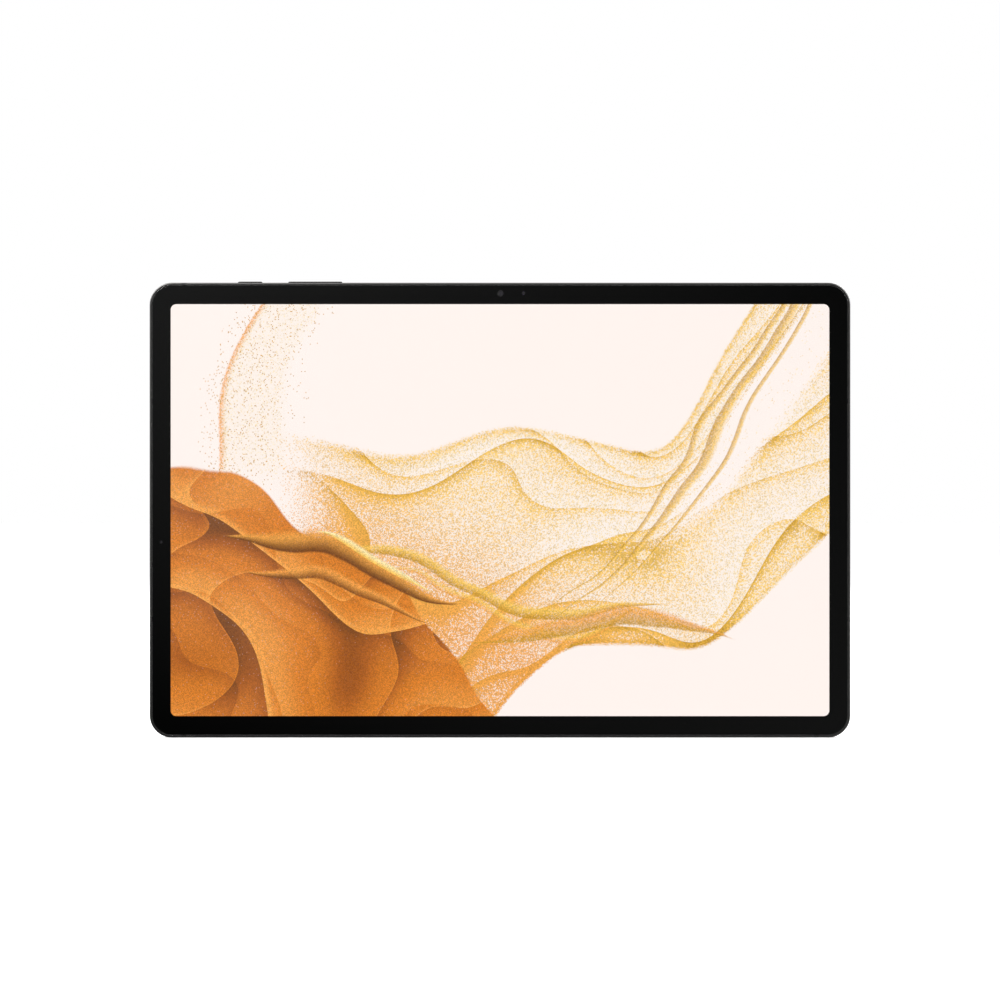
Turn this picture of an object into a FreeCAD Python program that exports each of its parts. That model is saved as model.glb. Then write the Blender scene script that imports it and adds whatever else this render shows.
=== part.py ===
import FreeCAD, Part
import math
import os
import re
import Sketcher

# A slate tablet computer, standing on its lower long edge with its screen facing -Y.
# X runs along the long edges, Y from the glass to the back, Z from the lower edge to the upper one.
# The origin is the middle of the lower edge, and every length is in millimetres.

DIMENSIONS = {
    # outline and thickness
    "body_width": 285.0,
    "body_height": 185.0,
    "body_corner": 9.0,
    "back_face": 2.85,
    "back_wall": 0.75,
    "side_wall": 4.0,
    "cavity_corner": 5.0,
    "rim_front": -2.65,
    "rim_width": 0.95,
    "rim_round": 0.6,
    "back_round": 1.8,
    "ledge": -2.12,
    "fit_gap": 0.05,
    # glass, printed border and display
    "glass_front": -2.85,
    "glass_back": -2.3,
    "glass_round": 0.25,
    "print_back": -2.27,
    "print_inset": 0.3,
    "screen_width": 267.8,
    "screen_height": 167.5,
    "screen_corner": 2.3,
    "panel_margin": 1.5,
    "panel_back": -1.77,
    "adhesive_width": 2.4,
    # plate behind the display
    "plate_front": -1.62,
    "plate_back": -1.32,
    "plate_gap": 0.2,
    "graphite_back": -1.27,
    "graphite_width": 230.0,
    "graphite_height": 144.0,
    "ribbon_slot_across": 96.0,
    "ribbon_slot_up": 40.0,
    "ribbon_slot_width": 20.0,
    "ribbon_slot_height": 8.0,
    "ribbon_slot_corner": 1.0,
    # edge features: all lie on one line round the sides
    "edge_line": 0.4,
    "power_across": -101.8,
    "power_length": 9.9,
    "volume_across": -75.3,
    "volume_length": 22.0,
    "button_width": 2.0,
    "button_proud": 0.6,
    "button_gap": 0.12,
    "button_round": 0.3,
    "key_bay_depth": 2.3,
    "flange_overhang": 0.8,
    "flange_thickness": 0.45,
    "stem_radius": 0.8,
    "key_strip_left": -110.0,
    "key_strip_right": -60.0,
    "dome_radius": 2.0,
    "dome_base": 181.85,
    "dome_top": 182.3,
    "volume_dome_spread": 7.5,
    "flex_thickness": 0.15,
    "tray_across": -44.0,
    "tray_cap_length": 20.0,
    "tray_cap_width": 1.8,
    "tray_gap": 0.1,
    "tray_cap_thickness": 1.75,
    "tray_cap_recess": 0.05,
    "tray_cap_round": 0.12,
    "ejector_hole": 0.45,
    "ejector_offset": -7.6,
    "tray_blade_width": 18.4,
    "tray_blade_half": 0.4,
    "tray_blade_low": 166.2,
    "socket_wall": 0.3,
    "socket_low": 164.2,
    "microphone_across": 60.0,
    "microphone_hole": 0.4,
    "microphone_width": 3.6,
    "microphone_height": 1.2,
    "grille_rise": 62.5,
    "grille_pitch": 5.2,
    "grille_length": 4.0,
    "grille_width": 1.0,
    "port_length": 8.94,
    "port_width": 3.16,
    "port_wall": 0.3,
    "port_depth": 7.0,
    "port_recess": 0.2,
    "port_gap": 0.1,
    "port_floor": 1.0,
    "tongue_height": 6.6,
    "tongue_thickness": 0.7,
    "contact_pitch": 0.5,
    "contact_width": 0.26,
    "contact_proud": 0.06,
    "dock_across": -6.0,
    "dock_length": 15.0,
    "dock_width": 2.6,
    "dock_pitch": 3.2,
    "dock_pin_radius": 0.8,
    "dock_pin_front": 0.05,
    "dock_pin_back": 1.1,
    "band_width": 2.0,
    "band_across": 128.5,
    "band_rise": 44.4,
    "extra_band_rise": -22.3,
    # screws and their posts
    "post_inset": 5.6,
    "post_radius": 2.6,
    "thread_radius": 0.72,
    "screw_radius": 0.7,
    "screw_head_radius": 1.15,
    "screw_head": 0.25,
    "screw_socket_radius": 0.45,
    "screw_socket_depth": 0.15,
    "chassis_screw_tip": 0.7,
    "chassis_hole_end": 0.9,
    "board_post_radius": 1.8,
    # electronics
    "board_left": 74.0,
    "board_right": 118.0,
    "board_low": 14.0,
    "board_high": 164.0,
    "board_front": 0.0,
    "board_back": 0.8,
    "connector_back": 1.6,
    "chip_front": -0.8,
    "can_front": -1.15,
    "can_wall": 0.15,
    "can_width": 32.0,
    "plug_width": 5.0,
    "plug_height": 2.8,
    "plug_inset": 0.6,
    "cell_width": 92.0,
    "cell_low": 14.0,
    "cell_high": 160.0,
    "cell_front": -1.1,
    "cell_back": 1.9,
    "cell_round": 1.2,
    "left_cell_across": -74.0,
    "right_cell_across": 22.0,
    "tape_width": 24.0,
    "tape_offset": 28.0,
    "tape_inset": 10.0,
    "speaker_depth": 10.5,
    "speaker_length": 36.0,
    "speaker_front": -1.2,
    "speaker_back": 2.0,
    "speaker_gap": 0.5,
    "cone_radius": 3.6,
    "mesh_thickness": 0.1,
    "mesh_length": 27.0,
    "antenna_front": -1.0,
    "antenna_near": 66.0,
    "antenna_far": 112.0,
    "antenna_gap": 0.2,
    "antenna_height": 3.6,
    "magnet_width": 4.0,
    "magnet_front": -0.6,
    "magnet_back": 2.0,
    # cameras and sensors
    "front_camera_across": 0.2,
    "front_camera_drop": 4.35,
    "light_sensor_across": 9.65,
    "side_sensor_across": -137.8,
    "side_sensor_up": 79.4,
    "front_camera_hole": 1.25,
    "front_camera_barrel": 1.6,
    "front_camera_mouth": 1.0,
    "front_camera_size": 5.0,
    "light_sensor_hole": 0.75,
    "side_sensor_hole": 0.6,
    "sensor_back": -1.4,
    "sensor_height": 2.4,
    "sensor_air": 0.02,
    "rear_camera_up": 171.5,
    "main_camera_across": 121.0,
    "wide_camera_across": 107.0,
    "flash_across": 114.0,
    "flash_radius": 1.5,
    "led_size": 2.2,
    "camera_size": 9.5,
    "camera_front": -1.2,
    "barrel_radius": 3.0,
    "barrel_back": 2.9,
    "barrel_mouth_wall": 1.1,
    "barrel_mouth_depth": 0.4,
    "island_length": 32.0,
    "island_width": 15.0,
    "island_back": 3.65,
    "island_round": 0.35,
    "ring_radius": 3.9,
    "ring_wall": 0.7,
    "ring_back": 3.85,
    "ring_round": 0.2,
    "window_thickness": 0.4,
    "window_recess": 0.15,
    "coax_radius": 0.45,
    "coax_line": 1.3,
    "coax_bend": 3.0,
}

doc = FreeCAD.newDocument("tablet")
sheet = doc.addObject("Spreadsheet::Sheet", "dims")
for row, (alias, value) in enumerate(DIMENSIONS.items(), start=1):
    sheet.set(f"A{row}", alias)
    sheet.set(f"B{row}", str(value))
    sheet.setAlias(f"B{row}", alias)
doc.recompute()

ruler = doc.addObject("App::FeaturePython", "ruler")
ruler.addProperty("App::PropertyFloat", "reading")

# Sizes used in many places, written in terms of the sheet's cells.
MIDDLE = "body_height/2"
CAVITY_FLOOR = "back_face - back_wall"
CAVITY_TOP = "body_height - side_wall"
CAVITY_SIDE = "body_width/2 - side_wall"
GLASS_WIDTH = "body_width - 2*rim_width"
GLASS_HEIGHT = "body_height - 2*rim_width"
GLASS_CORNER = "body_corner - rim_width"
FRONT_CAMERA_UP = "body_height - front_camera_drop"
KEY_BAY_TOP = "body_height - side_wall + key_bay_depth"
FLEX_BACK = "connector_back + flex_thickness"
PLUG_HIGH = "board_high - plug_inset"
PLUG_LOW = "board_high - plug_inset - plug_height"
PRINT_WIDTH = "body_width - 2*rim_width - 2*print_inset"
PRINT_HEIGHT = "body_height - 2*rim_width - 2*print_inset"
PRINT_CORNER = "body_corner - rim_width - print_inset"

subparts = []


# ---------------------------------------------------------------- sizes and expressions

def sized(expression):
    """Put the sheet's name before each of its cells in an expression."""
    def cell(word):
        return "dims." + word.group() if word.group() in DIMENSIONS else word.group()
    return re.sub(r"[a-z_]+", cell, expression)


def measure(expression):
    """The value of an expression, in millimetres."""
    ruler.setExpression("reading", sized(expression))
    ruler.recompute()
    return ruler.reading


def bind(item, **sizes):
    """Bind properties to expressions; a double underscore stands for a dot."""
    for name, expression in sizes.items():
        item.setExpression(name.replace("__", "."), sized(expression))


def keep(item, label):
    """Make an object one of the tablet's sub-parts."""
    item.Label = label
    subparts.append(item)


# ---------------------------------------------------------------- closed outlines for sketches

def tie(sketch, constraint, expression):
    index = sketch.addConstraint(constraint)
    name = f"size_{index}"
    sketch.renameConstraint(index, name)
    sketch.setExpression(f"Constraints.{name}", sized(expression))


def tie_centre(sketch, arc, across, up):
    """Tie an arc's or circle's centre to the sketch's origin."""
    x = Sketcher.Constraint("DistanceX", -1, 1, arc, 3, measure(across))
    y = Sketcher.Constraint("DistanceY", -1, 1, arc, 3, measure(up))
    tie(sketch, x, across)
    tie(sketch, y, up)


def close_loop(sketch, first, count):
    """Join a run of lines and arcs end to end, tangent to one another."""
    for step in range(count):
        following = first + (step + 1) % count
        sketch.addConstraint(Sketcher.Constraint("Tangent", first + step, 2, following, 1))


def arc_at(x, y, radius, start, sweep):
    circle = Part.Circle(FreeCAD.Vector(x, y, 0), FreeCAD.Vector(0, 0, 1), radius)
    return Part.ArcOfCircle(circle, start, start + sweep)


def circle(radius, across="0", up="0"):
    """A circle about a point of the sketch."""
    def draw(sketch):
        centre = FreeCAD.Vector(measure(across), measure(up), 0)
        ring = Part.Circle(centre, FreeCAD.Vector(0, 0, 1), measure(radius))
        index = sketch.addGeometry(ring, False)
        tie(sketch, Sketcher.Constraint("Radius", index, measure(radius)), radius)
        tie_centre(sketch, index, across, up)
    return draw


def rounded(width, height, corner, across="0", up="0"):
    """A rectangle with round corners, centred on a point of the sketch."""
    def draw(sketch):
        radius = measure(corner)
        reach_x = measure(f"({width})/2") - radius
        reach_y = measure(f"({height})/2") - radius
        x = measure(across)
        y = measure(up)
        corners = [(x + reach_x, y - reach_y), (x + reach_x, y + reach_y),
                   (x - reach_x, y + reach_y), (x - reach_x, y - reach_y)]
        first = sketch.GeometryCount
        for side, (cx, cy) in enumerate(corners):
            facing = (side - 1) * math.pi / 2
            out = FreeCAD.Vector(math.cos(facing), math.sin(facing), 0) * radius
            before = FreeCAD.Vector(*corners[side - 1], 0) + out
            after = FreeCAD.Vector(cx, cy, 0) + out
            sketch.addGeometry(Part.LineSegment(before, after), False)
            sketch.addGeometry(arc_at(cx, cy, radius, facing, math.pi / 2), False)
        close_loop(sketch, first, 8)
        for side in range(4):
            level = "Vertical" if side % 2 else "Horizontal"
            sketch.addConstraint(Sketcher.Constraint(level, first + 2 * side))
        for other in (3, 5, 7):
            sketch.addConstraint(Sketcher.Constraint("Equal", first + 1, first + other))
        tie(sketch, Sketcher.Constraint("Radius", first + 1, radius), corner)
        span_x = f"(({width})/2 - ({corner}))"
        span_y = f"(({height})/2 - ({corner}))"
        tie_centre(sketch, first + 3, f"({across}) + {span_x}", f"({up}) + {span_y}")
        tie_centre(sketch, first + 7, f"({across}) - {span_x}", f"({up}) - {span_y}")
    return draw


def stadium(length, width, across="0", up="0", upright=False):
    """A slot outline with round ends, lying along the sketch or standing up in it."""
    def draw(sketch):
        radius = measure(f"({width})/2")
        reach = measure(f"({length})/2") - radius
        x = measure(across)
        y = measure(up)
        facing = math.pi / 2 if upright else 0.0
        along = FreeCAD.Vector(math.cos(facing), math.sin(facing), 0)
        left = FreeCAD.Vector(-along.y, along.x, 0) * radius
        near = FreeCAD.Vector(x, y, 0) - along * reach
        far = FreeCAD.Vector(x, y, 0) + along * reach
        first = sketch.GeometryCount
        sketch.addGeometry(Part.LineSegment(near - left, far - left), False)
        sketch.addGeometry(arc_at(far.x, far.y, radius, facing - math.pi / 2, math.pi), False)
        sketch.addGeometry(Part.LineSegment(far + left, near + left), False)
        sketch.addGeometry(arc_at(near.x, near.y, radius, facing + math.pi / 2, math.pi), False)
        close_loop(sketch, first, 4)
        level = "Vertical" if upright else "Horizontal"
        sketch.addConstraint(Sketcher.Constraint(level, first))
        tie(sketch, Sketcher.Constraint("Radius", first + 1, radius), f"({width})/2")
        span = f"(({length}) - ({width}))/2"
        if upright:
            tie_centre(sketch, first + 1, across, f"({up}) + {span}")
            drop = Sketcher.Constraint("DistanceY", -1, 1, first + 3, 3, near.y)
            tie(sketch, drop, f"({up}) - {span}")
        else:
            tie_centre(sketch, first + 1, f"({across}) + {span}", up)
            back = Sketcher.Constraint("DistanceX", -1, 1, first + 3, 3, near.x)
            tie(sketch, back, f"({across}) - {span}")
    return draw


# ---------------------------------------------------------------- features

# Each way of looking has a sketch plane and the sign of its normal along its axis.
PLANES = {"front": ("XZ_Plane", -1), "top": ("XY_Plane", 1), "side": ("YZ_Plane", 1)}


def sketch_at(body, view, level, loops):
    """Draw closed loops on a plane of the body, at a level along that plane's axis."""
    role, sign = PLANES[view]
    sketch = body.newObject("Sketcher::SketchObject", "outline")
    plane = next(item for item in body.Origin.OriginFeatures if item.Role == role)
    sketch.AttachmentSupport = [(plane, "")]
    sketch.MapMode = "FlatFace"
    sketch.setExpression("AttachmentOffset.Base.z", sized(f"{sign} * ({level})"))
    for draw in loops:
        draw(sketch)
    return sketch


def pad(body, view, low, high, *loops):
    """Add material between two levels of the view's axis."""
    feature = body.newObject("PartDesign::Pad", "pad")
    feature.Profile = sketch_at(body, view, low, loops)
    feature.Reversed = PLANES[view][1] < 0
    bind(feature, Length=f"({high}) - ({low})")
    doc.recompute()


def pocket(body, view, low, high, *loops):
    """Take material away between two levels of the view's axis."""
    before = body.Shape.Volume
    feature = body.newObject("PartDesign::Pocket", "pocket")
    feature.Profile = sketch_at(body, view, low, loops)
    feature.Reversed = PLANES[view][1] > 0
    bind(feature, Length=f"({high}) - ({low})")
    doc.recompute()
    if body.Shape.Volume > before - 1e-6:
        raise RuntimeError(f"a pocket in {body.Label} cuts nothing")


def new_body(label):
    body = doc.addObject("PartDesign::Body", label)
    body.Label = label
    return body


def edges_level(shape, direction, level):
    """Names of the edges that lie flat at a level of an axis, such as the edges of one face."""
    names = []
    for number, edge in enumerate(shape.Edges, start=1):
        low = getattr(edge.BoundBox, f"{direction}Min")
        high = getattr(edge.BoundBox, f"{direction}Max")
        if abs(low - level) < 1e-4 and abs(high - level) < 1e-4:
            names.append(f"Edge{number}")
    return names


def round_level(body, direction, level, radius, longer_than="0"):
    """Round the edges that lie flat at a level, leaving out the short ones."""
    names = [name for name in edges_level(body.Shape, direction, measure(level))
             if body.Shape.getElement(name).BoundBox.DiagonalLength > measure(longer_than)]
    last = body.Tip
    feature = body.newObject("PartDesign::Fillet", "round_edge")
    feature.Base = (last, names)
    bind(feature, Radius=radius)
    body.Tip = feature
    doc.recompute()


def plate(label, low, high, *loops):
    """A flat piece that lies parallel to the screen."""
    body = new_body(label)
    pad(body, "front", low, high, *loops)
    return body


def block(label, x, y, z):
    """A square-cornered piece, given its low and high side on each axis."""
    box = doc.addObject("Part::Box", label)
    bind(box, Length=f"({x[1]}) - ({x[0]})", Width=f"({y[1]}) - ({y[0]})",
         Height=f"({z[1]}) - ({z[0]})")
    bind(box, Placement__Base__x=x[0], Placement__Base__y=y[0], Placement__Base__z=z[0])
    return box


def centred(middle, size):
    """The low and high side of something of a size about its middle."""
    return f"({middle}) - ({size})/2", f"({middle}) + ({size})/2"


def rod(label, radius, low, high, across, up):
    """A round bar along Y, from one depth to another."""
    bar = doc.addObject("Part::Cylinder", label)
    bar.Placement = FreeCAD.Placement(FreeCAD.Vector(), FreeCAD.Rotation(FreeCAD.Vector(1, 0, 0), -90))
    bind(bar, Radius=radius, Height=f"({high}) - ({low})")
    bind(bar, Placement__Base__x=across, Placement__Base__y=low, Placement__Base__z=up)
    return bar


def fuse(label, pieces):
    joined = doc.addObject("Part::MultiFuse", label)
    joined.Shapes = pieces
    return joined


def cut(label, base, tools):
    """One object less one or more others."""
    tool = tools[0] if len(tools) == 1 else fuse(label + "_tool", tools)
    result = doc.addObject("Part::Cut", label)
    result.Base = base
    result.Tool = tool
    return result


def group(label, pieces):
    """Several separate solids that make one sub-part."""
    several = doc.addObject("Part::Compound", label)
    several.Links = pieces
    return several


# ---------------------------------------------------------------- housing

def post_centres():
    """The places of the screw posts, round the inside of the walls."""
    low = "post_inset"
    high = "body_height - post_inset"
    side = "body_width/2 - post_inset"
    upper = [("-118", high), ("-20", high), ("40", high), ("118", high)]
    lower = [("-118", low), ("-45", low), ("45", low), ("118", low)]
    sides = [(f"{sign}({side})", f"{MIDDLE} + {rise}") for sign in ("-", "") for rise in ("30.5", "-30.5")]
    return upper + lower + sides


def board_post_centres():
    """The places of the main board's four screw posts."""
    return [(across, up) for across in ("board_left + 3", "board_right - 2.5") for up in ("32", "108")]


def grille_loops():
    """The slots of an upper and a lower speaker grille, five in each."""
    loops = []
    for sign in ("-", "+"):
        for step in range(-2, 3):
            up = f"{MIDDLE} {sign} grille_rise + {step}*grille_pitch"
            loops.append(stadium("grille_length", "grille_width", "edge_line", up, upright=True))
    return loops


def housing_blank():
    """The milled tray before its antenna slots are cut: back wall, side walls and screw posts."""
    body = new_body("housing_blank")
    pad(body, "front", "rim_front", "back_face",
        rounded("body_width", "body_height", "body_corner", up=MIDDLE))
    round_level(body, "Y", "rim_front", "rim_round")
    round_level(body, "Y", "back_face", "back_round")
    pocket(body, "front", "rim_front - 1", "ledge",
           rounded(f"{GLASS_WIDTH} + 2*fit_gap", f"{GLASS_HEIGHT} + 2*fit_gap",
                   f"{GLASS_CORNER} + fit_gap", up=MIDDLE))
    pocket(body, "front", "ledge - 0.1", CAVITY_FLOOR,
           rounded("body_width - 2*side_wall", "body_height - 2*side_wall", "cavity_corner", up=MIDDLE))
    pocket(body, "side", "-body_width/2 - 1", "body_width/2 + 1", *grille_loops())
    pad(body, "front", "plate_back", f"{CAVITY_FLOOR} + 0.1",
        *[circle("post_radius", across, up) for across, up in post_centres()])
    pad(body, "front", "board_back", f"{CAVITY_FLOOR} + 0.1",
        *[circle("board_post_radius", across, up) for across, up in board_post_centres()])
    pocket(body, "front", "plate_back - 0.1", "chassis_hole_end",
           *[circle("thread_radius", across, up) for across, up in post_centres()])
    pocket(body, "front", "board_back - 0.1", CAVITY_FLOOR,
           *[circle("thread_radius", across, up) for across, up in board_post_centres()])
    cut_bays(body)
    cut_edge_slots(body)
    pocket(body, "front", f"{CAVITY_FLOOR} - 0.1", "back_face + 1",
           circle("barrel_radius + 0.4", "main_camera_across", "rear_camera_up"),
           circle("barrel_radius + 0.4", "wide_camera_across", "rear_camera_up"),
           circle("flash_radius + 0.1", "flash_across", "rear_camera_up"))
    return body


def cut_bays(body):
    """Hollow the walls where the keys, the front camera and the sensors sit."""
    bay_up = f"{KEY_BAY_TOP} - 2"
    pocket(body, "front", "plate_back", CAVITY_FLOOR,
           rounded("51.5", "4", "0.5", "-85", bay_up))
    pocket(body, "front", "ledge - 0.1", "1.2",
           rounded("16.4", "4", "0.5", "4.1", bay_up))
    pocket(body, "front", "ledge - 0.1", "0.5",
           rounded("4", "5", "0.5", "-body_width/2 + side_wall", "side_sensor_up"))


def cut_edge_slots(body):
    """Cut the openings in the side walls: keys, card tray, microphones, contacts and port."""
    button_slot = "button_width + 2*button_gap"
    pocket(body, "top", f"{KEY_BAY_TOP} - 0.1", "body_height + 1",
           stadium("power_length + 2*button_gap", button_slot, "power_across", "edge_line"),
           stadium("volume_length + 2*button_gap", button_slot, "volume_across", "edge_line"))
    pocket(body, "top", f"{CAVITY_TOP} - 0.1", "body_height + 1",
           stadium("tray_cap_length + 2*tray_gap", "tray_cap_width + 2*tray_gap", "tray_across", "edge_line"),
           circle("microphone_hole", "microphone_across", "edge_line"))
    pocket(body, "top", "-1", "side_wall + 0.1",
           stadium("dock_length + 2*fit_gap", "dock_width + 2*fit_gap", "dock_across", "edge_line"),
           circle("microphone_hole", "microphone_across", "edge_line"))
    pocket(body, "side", f"{CAVITY_SIDE} - 0.1", "body_width/2 + 1",
           stadium("port_length + 2*port_gap", "port_width + 2*port_gap", "edge_line", MIDDLE, upright=True))


def band_slabs():
    """The pieces of wall that the antenna bands take the place of."""
    depth = ("rim_front - 1", "back_face + 1")
    top = (CAVITY_TOP, "body_height + 1")
    bottom = ("-1", "side_wall")
    left = ("-body_width/2 - 1", f"-({CAVITY_SIDE})")
    right = (CAVITY_SIDE, "body_width/2 + 1")
    slabs = []
    for sign in ("-", "+"):
        across = centred(f"0 {sign} band_across", "band_width")
        rise = centred(f"{MIDDLE} {sign} band_rise", "band_width")
        slabs += [block("band_slab", across, depth, end) for end in (top, bottom)]
        slabs += [block("band_slab", end, depth, rise) for end in (left, right)]
    slabs.append(block("band_slab", left, depth, centred(f"{MIDDLE} + extra_band_rise", "band_width")))
    return slabs


def make_housing():
    blank = housing_blank()
    slabs = fuse("band_slabs", band_slabs())
    keep(cut("rear_housing", blank, [slabs]), "rear_housing")
    bands = doc.addObject("Part::Common", "antenna_bands")
    bands.Base = blank
    bands.Tool = slabs
    keep(bands, "antenna_bands")


# ---------------------------------------------------------------- glass and display

def make_cover_glass():
    glass = plate("cover_glass", "glass_front", "glass_back",
                  rounded(GLASS_WIDTH, GLASS_HEIGHT, GLASS_CORNER, up=MIDDLE))
    round_level(glass, "Y", "glass_front", "glass_round")
    keep(glass, "cover_glass")


def make_bezel_print():
    """The printed border behind the glass, with a clear window for the camera and each sensor."""
    ring = plate("bezel_print", "glass_back", "print_back",
                 rounded(PRINT_WIDTH, PRINT_HEIGHT, PRINT_CORNER, up=MIDDLE),
                 rounded("screen_width", "screen_height", "screen_corner", up=MIDDLE),
                 circle("front_camera_hole", "front_camera_across", FRONT_CAMERA_UP),
                 circle("light_sensor_hole", "light_sensor_across", FRONT_CAMERA_UP),
                 circle("side_sensor_hole", "side_sensor_across", "side_sensor_up"))
    keep(ring, "bezel_print")


def make_glass_adhesive():
    """The foam tape between the printed border and the housing's ledge."""
    ring = plate("adhesive_ring", "print_back", "ledge",
                 rounded(PRINT_WIDTH, PRINT_HEIGHT, PRINT_CORNER, up=MIDDLE),
                 rounded(f"{PRINT_WIDTH} - 2*adhesive_width", f"{PRINT_HEIGHT} - 2*adhesive_width",
                         "cavity_corner", up=MIDDLE))
    clear_bays = [block("adhesive_notch", ("-4.2", "12.4"), ("-3", "0"), ("179", "183.4")),
                  block("adhesive_notch", ("-140.6", "-137"), ("-3", "0"), ("76.8", "82"))]
    keep(cut("glass_adhesive", ring, clear_bays), "glass_adhesive")


def make_display_panel():
    panel = plate("display_panel", "print_back", "panel_back",
                  rounded("screen_width + 2*panel_margin", "screen_height + 2*panel_margin",
                          "screen_corner + panel_margin", up=MIDDLE))
    keep(panel, "display_panel")


def ribbon_slot():
    """The opening in the plate and the graphite sheet that the display's ribbon passes through."""
    return rounded("ribbon_slot_width", "ribbon_slot_height", "ribbon_slot_corner",
                   "ribbon_slot_across", "ribbon_slot_up")


def make_display_flex():
    """The ribbon from the panel's back, through the plate, to the main board."""
    x = centred("ribbon_slot_across", "ribbon_slot_width - 4")
    pieces = [block("flex_tab", x, ("panel_back + 0.02", "plate_front - 0.01"), ("30", "42")),
              block("flex_web", x, ("panel_back + 0.02", "chip_front"), ("41.88", "42")),
              block("flex_tail", x, ("chip_front - 0.12", "chip_front"), ("35", "42"))]
    keep(fuse("display_flex", pieces), "display_flex")


def make_mid_plate():
    body = plate("plate_blank", "plate_front", "plate_back",
                 rounded("body_width - 2*side_wall - 2*plate_gap", "body_height - 2*side_wall - 2*plate_gap",
                         "cavity_corner", up=MIDDLE),
                 *[circle("screw_radius + 0.15", across, up) for across, up in post_centres()],
                 ribbon_slot())
    notches = [block("plate_notch", ("-5", "13"), ("-3", "0"), ("177.6", "186")),
               block("plate_notch", ("-142", "-136.2"), ("-3", "0"), ("76.6", "82.2"))]
    keep(cut("mid_plate", body, notches), "mid_plate")


def make_graphite_sheet():
    sheet_body = plate("graphite_sheet", "plate_back", "graphite_back",
                       rounded("graphite_width", "graphite_height", "4", "0", MIDDLE),
                       ribbon_slot())
    keep(sheet_body, "graphite_sheet")


def screw(head_front, tip, across, up):
    """A flat-headed screw with a round drive socket, pointing to the back."""
    head = rod("screw_head", "screw_head_radius", head_front, f"{head_front} + screw_head", across, up)
    shank = rod("screw_shank", "screw_radius", f"{head_front} + screw_head - 0.05", tip, across, up)
    socket = rod("screw_socket", "screw_socket_radius", f"{head_front} - 0.1",
                 f"{head_front} + screw_socket_depth", across, up)
    return cut("screw", fuse("screw_blank", [head, shank]), [socket])


def make_screws():
    chassis = [screw("plate_front - screw_head", "chassis_screw_tip", *centre) for centre in post_centres()]
    keep(group("chassis_screws", chassis), "chassis_screws")
    board = [screw("board_front - screw_head", f"{CAVITY_FLOOR} - 0.2", *centre)
             for centre in board_post_centres()]
    keep(group("board_screws", board), "board_screws")


# ---------------------------------------------------------------- battery

def make_battery_cell(label, across):
    cell = new_body(label)
    pad(cell, "front", "cell_front", "cell_back",
        rounded("cell_width", "cell_high - cell_low", "cell_round", across, "(cell_high + cell_low)/2"))
    round_level(cell, "Y", "cell_front", "cell_round/2")
    keep(cell, label)


def make_battery():
    make_battery_cell("battery_cell_left", "left_cell_across")
    make_battery_cell("battery_cell_right", "right_cell_across")
    depth = ("cell_back", CAVITY_FLOOR)
    strips = []
    for across in ("left_cell_across", "right_cell_across"):
        for sign in ("-", "+"):
            strips.append(block("tape", centred(f"{across} {sign} tape_offset", "tape_width"), depth,
                                ("cell_low + tape_inset", "cell_high - tape_inset")))
    keep(group("battery_adhesive", strips), "battery_adhesive")
    board = fuse("battery_board", [
        block("battery_strip", ("-30", "66"), ("board_front", "board_back"),
              (f"{PLUG_LOW} - 0.2", f"{PLUG_HIGH} + 0.2")),
        block("battery_cover", ("-24", "56"), ("-0.7", "board_front"), (PLUG_LOW, PLUG_HIGH)),
        block("battery_socket", ("60", "65"), ("board_back", "connector_back"), (PLUG_LOW, PLUG_HIGH))])
    keep(board, "battery_board")
    lead = block("battery_lead", ("60.5", "81.5"), ("connector_back", FLEX_BACK), (PLUG_LOW, PLUG_HIGH))
    keep(lead, "battery_lead")


# ---------------------------------------------------------------- main board

BOARD_MIDDLE = "(board_left + board_right)/2"


def make_main_board():
    board = plate("main_board", "board_front", "board_back",
                  rounded("board_right - board_left", "board_high - board_low", "1.5",
                          BOARD_MIDDLE, "(board_low + board_high)/2"),
                  *[circle("screw_radius + 0.1", across, up) for across, up in board_post_centres()])
    keep(board, "main_board")


def chip(label, across, up, width, height):
    """A packaged chip on the board's front side, standing on a slightly smaller carrier."""
    cap = block(label + "_cap", centred(across, width), ("chip_front", "board_front - 0.2"),
                centred(up, height))
    carrier = block(label + "_carrier", centred(across, f"{width} - 0.6"),
                    ("board_front - 0.2", "board_front"), centred(up, f"{height} - 0.6"))
    return fuse(label, [cap, carrier])


def make_chips():
    keep(chip("processor", BOARD_MIDDLE, "138", "14", "14"), "processor")
    keep(chip("memory_chip", BOARD_MIDDLE, "122", "12.4", "12.4"), "memory_chip")
    keep(chip("storage_chip", BOARD_MIDDLE, "92", "11.5", "13"), "storage_chip")
    places = [("88", "76"), (BOARD_MIDDLE, "76"), ("104", "76"), ("92", "22"), ("102", "22")]
    power_chips = [chip("power_chip", *place, "6", "5") for place in places]
    keep(group("power_chips", power_chips), "power_chips")


def shield_can(up, height):
    """A thin metal box over some of the chips, open on the board's side."""
    outer = block("can_outer", centred(BOARD_MIDDLE, "can_width"), ("can_front", "board_front"),
                  centred(up, height))
    inner = block("can_inner", centred(BOARD_MIDDLE, "can_width - 2*can_wall"),
                  ("can_front + can_wall", "board_front + 1"), centred(up, f"{height} - 2*can_wall"))
    return cut("shield_can", outer, [inner])


def make_shielding():
    cans = [shield_can("131", "38"), shield_can("85", "38"), shield_can("21.5", "11")]
    keep(group("shield_cans", cans), "shield_cans")
    pad_block = block("thermal_pad", centred(BOARD_MIDDLE, "20"), ("graphite_back", "can_front"),
                      centred("134", "24"))
    keep(pad_block, "thermal_pad")


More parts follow.
